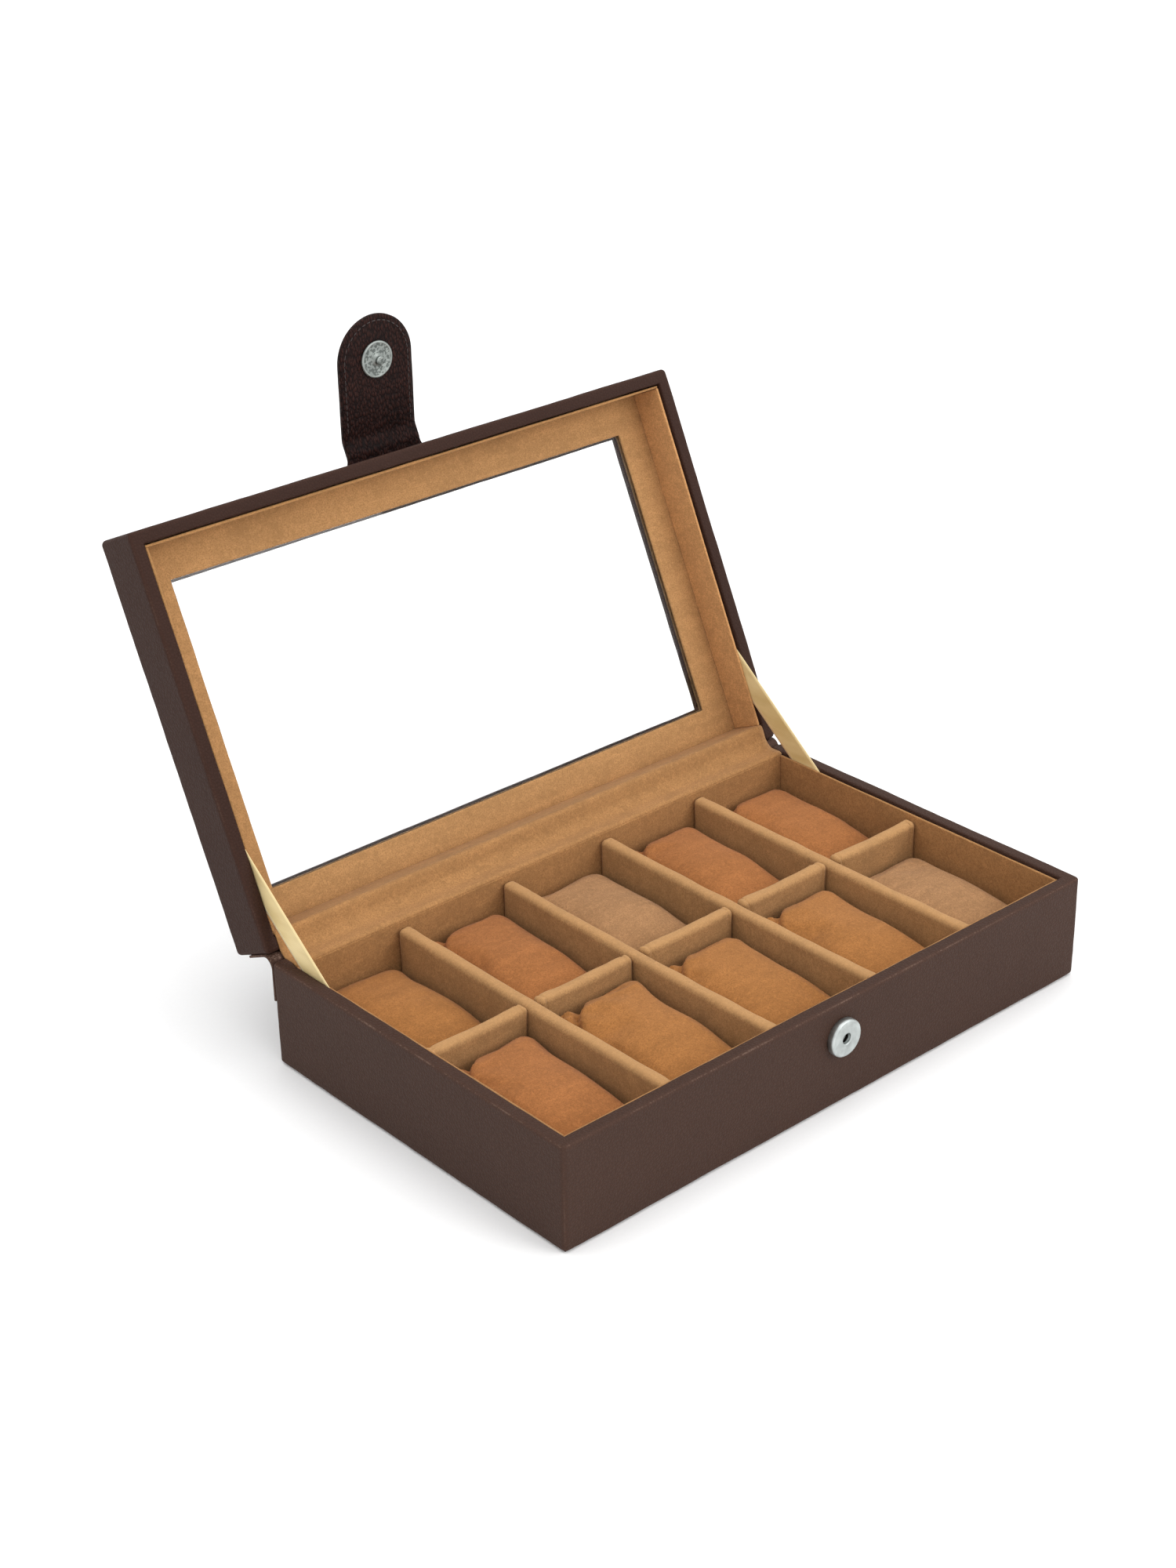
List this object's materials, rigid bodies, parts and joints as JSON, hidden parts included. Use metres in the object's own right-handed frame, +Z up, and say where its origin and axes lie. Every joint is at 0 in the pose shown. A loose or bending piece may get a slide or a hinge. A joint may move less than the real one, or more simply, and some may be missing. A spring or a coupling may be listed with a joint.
{
  "type": "watch box",
  "caption": "Leather-covered watch box with a cloth-hinged window lid, snap flap, stay ribbons and loose suede pillows in padded slots.",
  "frame": {"origin": "centre of the underside of the base, on the surface that it stands on", "axes": "+X along the box's length, to the right seen from the front; +Y from the front to the hinge; +Z up"},
  "size_m": [0.32, 0.314, 0.2875],
  "materials": {
    "fibreboard": "raw fibreboard, hidden under leather and lining",
    "case_leather": "dark brown pebbled leather, satin, worn along its edges",
    "flap_leather": "dark brown pebbled leather with edge stitching",
    "underside_felt": "dark felt",
    "lining_suede": "tan suede on card",
    "divider_suede": "tan suede wrapped over a padded board",
    "pillow_suede": "soft tan suede pillow cover",
    "card": "hidden card",
    "satin_ribbon": "woven satin ribbon with lighter edges",
    "window_glass": "clear float glass",
    "satin_nickel": "satin nickel plate with a bright rim",
    "magnet": "hidden ferrite ring",
    "washer_steel": "hidden zinc-plated washer"
  },
  "bodies": {
    "base": {"floor_board": "fibreboard", "front_board": "fibreboard", "back_board": "fibreboard", "left_board": "fibreboard", "right_board": "fibreboard", "base_leather": "case_leather", "underside_felt": "underside_felt", "floor_lining": "lining_suede", "front_lining": "lining_suede", "back_lining": "lining_suede", "left_lining": "lining_suede", "right_lining": "lining_suede", "cross_divider_1": "divider_suede", "cross_divider_2": "divider_suede", "cross_divider_3": "divider_suede", "cross_divider_4": "divider_suede", "row_divider_1": "divider_suede", "row_divider_2": "divider_suede", "row_divider_3": "divider_suede", "row_divider_4": "divider_suede", "row_divider_5": "divider_suede", "cross_divider_cores": "card", "row_divider_cores": "card", "snap_socket": "satin_nickel", "socket_magnet": "magnet", "socket_washer": "washer_steel", "hinge_spine": "case_leather", "hinge_lining": "divider_suede", "stay_ribbon_left": "satin_ribbon", "stay_ribbon_right": "satin_ribbon"},
    "lid": {"lid_front_board": "fibreboard", "lid_back_board": "fibreboard", "lid_left_board": "fibreboard", "lid_right_board": "fibreboard", "lid_top_board": "fibreboard", "lid_leather": "case_leather", "window_glass": "window_glass", "mat_frame": "lining_suede", "lid_front_lining": "lining_suede", "lid_back_lining": "lining_suede", "lid_left_lining": "lining_suede", "lid_right_lining": "lining_suede", "flap_root": "flap_leather", "flap_bend": "flap_leather"},
    "clasp_flap": {"flap_face": "flap_leather", "flap_stiffener": "card", "flap_inner": "flap_leather", "snap_stud": "satin_nickel", "stud_washer": "washer_steel"},
    "pillow_front_1_body": {"pillow_front_1": "pillow_suede"},
    "pillow_front_2_body": {"pillow_front_2": "pillow_suede"},
    "pillow_front_3_body": {"pillow_front_3": "pillow_suede"},
    "pillow_front_4_body": {"pillow_front_4": "pillow_suede"},
    "pillow_front_5_body": {"pillow_front_5": "pillow_suede"},
    "pillow_back_1_body": {"pillow_back_1": "pillow_suede"},
    "pillow_back_2_body": {"pillow_back_2": "pillow_suede"},
    "pillow_back_3_body": {"pillow_back_3": "pillow_suede"},
    "pillow_back_4_body": {"pillow_back_4": "pillow_suede"},
    "pillow_back_5_body": {"pillow_back_5": "pillow_suede"}
  },
  "joints": [
    {"name": "lid_hinge", "type": "hinge", "parent": "base", "child": "lid", "pos_m": [0, 0.0997, 0.0527], "axis": [-1, 0, 0], "range_deg": [-115, 0], "deforming": ["hinge_spine", "hinge_lining", "stay_ribbon_left", "stay_ribbon_right"]},
    {"name": "flap_hinge", "type": "hinge", "parent": "lid", "child": "clasp_flap", "pos_m": [0, 0.208, 0.22243], "axis": [-1, 0, 0], "range_deg": [-65, 60], "stiffness_Nm_per_rad": 0.02, "deforming": ["flap_bend"]},
    {"name": "lift_front_1", "type": "slide", "parent": "base", "child": "pillow_front_1_body", "axis": [0, 0, 1], "range_m": [0, 0.06]},
    {"name": "lift_front_2", "type": "slide", "parent": "base", "child": "pillow_front_2_body", "axis": [0, 0, 1], "range_m": [0, 0.06]},
    {"name": "lift_front_3", "type": "slide", "parent": "base", "child": "pillow_front_3_body", "axis": [0, 0, 1], "range_m": [0, 0.06]},
    {"name": "lift_front_4", "type": "slide", "parent": "base", "child": "pillow_front_4_body", "axis": [0, 0, 1], "range_m": [0, 0.06]},
    {"name": "lift_front_5", "type": "slide", "parent": "base", "child": "pillow_front_5_body", "axis": [0, 0, 1], "range_m": [0, 0.06]},
    {"name": "lift_back_1", "type": "slide", "parent": "base", "child": "pillow_back_1_body", "axis": [0, 0, 1], "range_m": [0, 0.06]},
    {"name": "lift_back_2", "type": "slide", "parent": "base", "child": "pillow_back_2_body", "axis": [0, 0, 1], "range_m": [0, 0.06]},
    {"name": "lift_back_3", "type": "slide", "parent": "base", "child": "pillow_back_3_body", "axis": [0, 0, 1], "range_m": [0, 0.06]},
    {"name": "lift_back_4", "type": "slide", "parent": "base", "child": "pillow_back_4_body", "axis": [0, 0, 1], "range_m": [0, 0.06]},
    {"name": "lift_back_5", "type": "slide", "parent": "base", "child": "pillow_back_5_body", "axis": [0, 0, 1], "range_m": [0, 0.06]}
  ]
}
